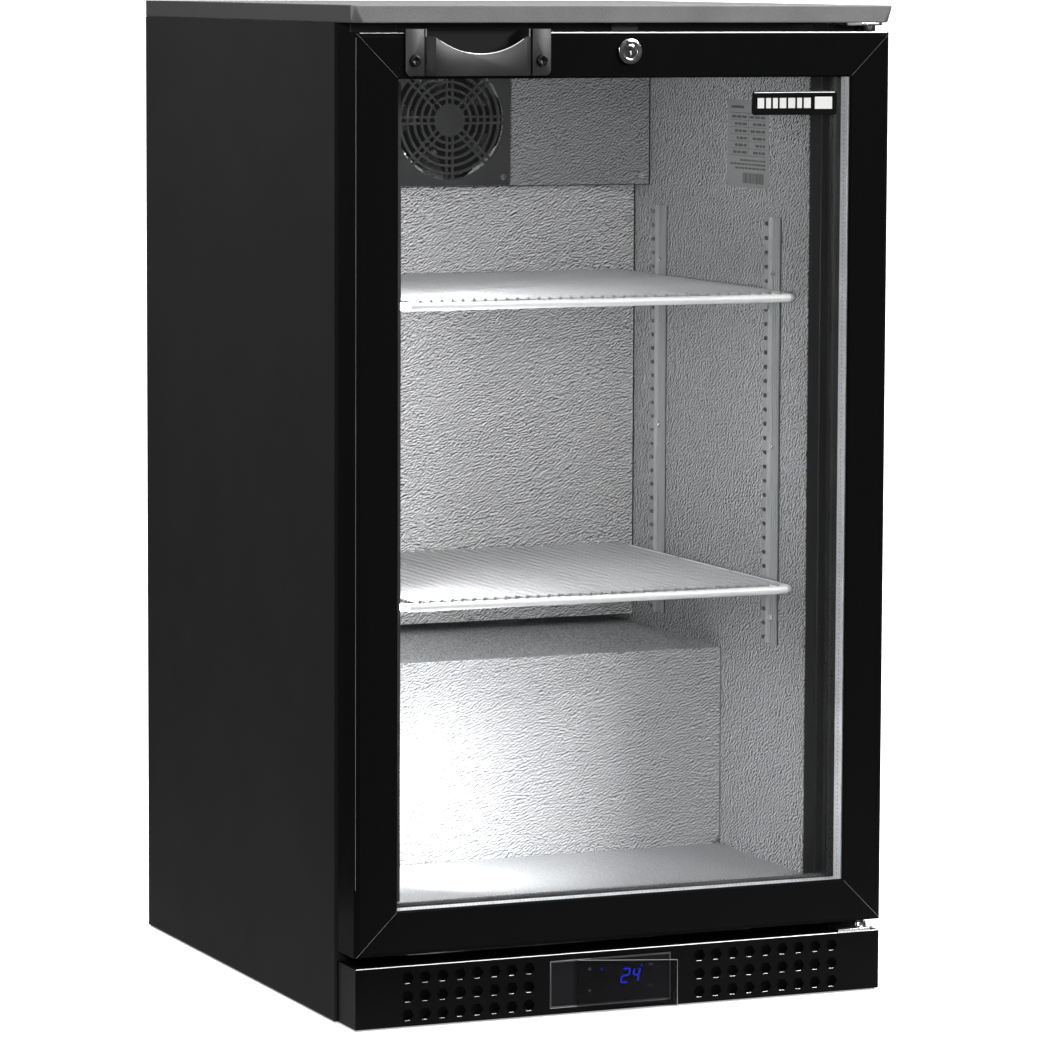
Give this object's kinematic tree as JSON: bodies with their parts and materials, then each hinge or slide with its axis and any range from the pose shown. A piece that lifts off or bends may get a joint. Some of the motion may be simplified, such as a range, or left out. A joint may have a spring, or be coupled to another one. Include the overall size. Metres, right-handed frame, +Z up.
{
  "type": "under counter fridge",
  "caption": "Narrow under counter bottle cooler with a right-hung glass door, wire shelves on pilasters and a vented kick panel with a digital thermostat.",
  "frame": {"origin": "centre of the cabinet footprint at floor level", "axes": "+Z up; the front with the door faces -Y; the hinges are on the +X side"},
  "size_m": [0.5, 0.5576, 0.865],
  "materials": {
    "powder_coated_steel": "satin",
    "galvanised_steel": "satin",
    "top_laminate": "matt",
    "top_edge": "fine speckle",
    "foam": "matt",
    "black_nylon": "satin",
    "stucco_aluminium": "stucco embossed",
    "breaker_plastic": "satin",
    "pilaster_steel": "satin",
    "bright_screws": "bright",
    "led_diffuser": "milky",
    "sticker": "satin",
    "coil_aluminium": "plain",
    "zinc_steel": "bright",
    "display_glass": "gloss",
    "smoked_cover": "smoked clear plastic",
    "black_enamel": "semi-gloss",
    "fan_aluminium": "plain",
    "tray_plastic": "satin",
    "copper": "drawn tube",
    "door_aluminium": "semi-gloss black",
    "glazing": "clear",
    "spacer_aluminium": "mill finish",
    "gasket_rubber": "matt",
    "handle_satin": "satin",
    "black_screws": "semi-gloss",
    "badge_black": "gloss",
    "lock_chrome": "polished",
    "coated_wire": "white plastic coat"
  },
  "bodies": {
    "cabinet": {"side_panel_left": "powder_coated_steel", "side_panel_right": "powder_coated_steel", "rear_panel": "galvanised_steel", "top_panel": "top_laminate", "top_front_trim": "top_edge", "base_tray": "galvanised_steel", "bay_lining": "galvanised_steel", "insulation_foam": "foam", "liner_left": "stucco_aluminium", "liner_right": "stucco_aluminium", "liner_ceiling": "stucco_aluminium", "liner_back": "stucco_aluminium", "liner_floor": "stucco_aluminium", "liner_step": "stucco_aluminium", "breaker_strips_upright": "breaker_plastic", "breaker_strips_level": "breaker_plastic", "pilasters_left": "pilaster_steel", "pilasters_right": "pilaster_steel", "shelf_clips": "pilaster_steel", "interior_screws": "bright_screws", "led_housing": "black_nylon", "led_strip": "led_diffuser", "rating_sticker": "sticker", "evaporator_cover": "stucco_aluminium", "evaporator_fan_guard": "black_nylon", "evaporator_fan_frame": "black_nylon", "evaporator_coil": "coil_aluminium", "air_duct_panel": "stucco_aluminium", "hinge_brackets": "zinc_steel", "lock_keeper": "powder_coated_steel", "kick_panel": "powder_coated_steel", "controller_housing": "black_nylon", "controller_screen": "display_glass", "compressor": "black_enamel", "condenser_coil": "black_enamel", "condenser_fan_frame": "galvanised_steel", "drip_tray": "tray_plastic", "refrigerant_pipes": "copper", "rear_grille": "powder_coated_steel", "cord_gland": "black_nylon"},
    "door": {"door_profile_left": "door_aluminium", "door_profile_right": "door_aluminium", "door_profile_top": "door_aluminium", "door_profile_bottom": "door_aluminium", "door_glass": "glazing", "door_spacer": "spacer_aluminium", "door_gasket": "gasket_rubber", "handle_cup": "handle_satin", "handle_brackets": "handle_satin", "handle_screws": "black_screws", "door_badge": "badge_black", "lock_barrel": "lock_chrome"},
    "lock": {"lock_plug": "lock_chrome"},
    "controller_cover": {"controller_flap": "smoked_cover"},
    "evaporator_fan": {"evaporator_fan_blades": "black_nylon"},
    "condenser_fan": {"condenser_fan_blades": "fan_aluminium"},
    "upper_shelf": {"shelf_upper": "coated_wire"},
    "lower_shelf": {"shelf_lower": "coated_wire"}
  },
  "joints": [
    {"name": "door_hinge", "type": "hinge", "parent": "cabinet", "child": "door", "pos_m": [0.2345, -0.2485, 0.45], "axis": [0, 0, 1], "range_deg": [0, 110]},
    {"name": "lock_turn", "type": "hinge", "parent": "door", "child": "lock", "pos_m": [0, -0.26, 0.826], "axis": [0, -1, 0], "range_deg": [0, 90]},
    {"name": "controller_cover_hinge", "type": "hinge", "parent": "cabinet", "child": "controller_cover", "pos_m": [-0.042, -0.2633, 0.027], "axis": [0, 0, -1], "range_deg": [-18, 80]},
    {"name": "evaporator_fan_spin", "type": "hinge", "parent": "cabinet", "child": "evaporator_fan", "pos_m": [-0.01, 0.12, 0.757], "axis": [0, 1, 0], "continuous": true},
    {"name": "condenser_fan_spin", "type": "hinge", "parent": "cabinet", "child": "condenser_fan", "pos_m": [-0.118, 0.15, 0.095], "axis": [0, 1, 0], "continuous": true},
    {"name": "upper_shelf_lift", "type": "slide", "parent": "cabinet", "child": "upper_shelf", "axis": [0, 0, 1], "range_m": [0, 0.025]},
    {"name": "lower_shelf_lift", "type": "slide", "parent": "cabinet", "child": "lower_shelf", "axis": [0, 0, 1], "range_m": [0, 0.025]}
  ]
}
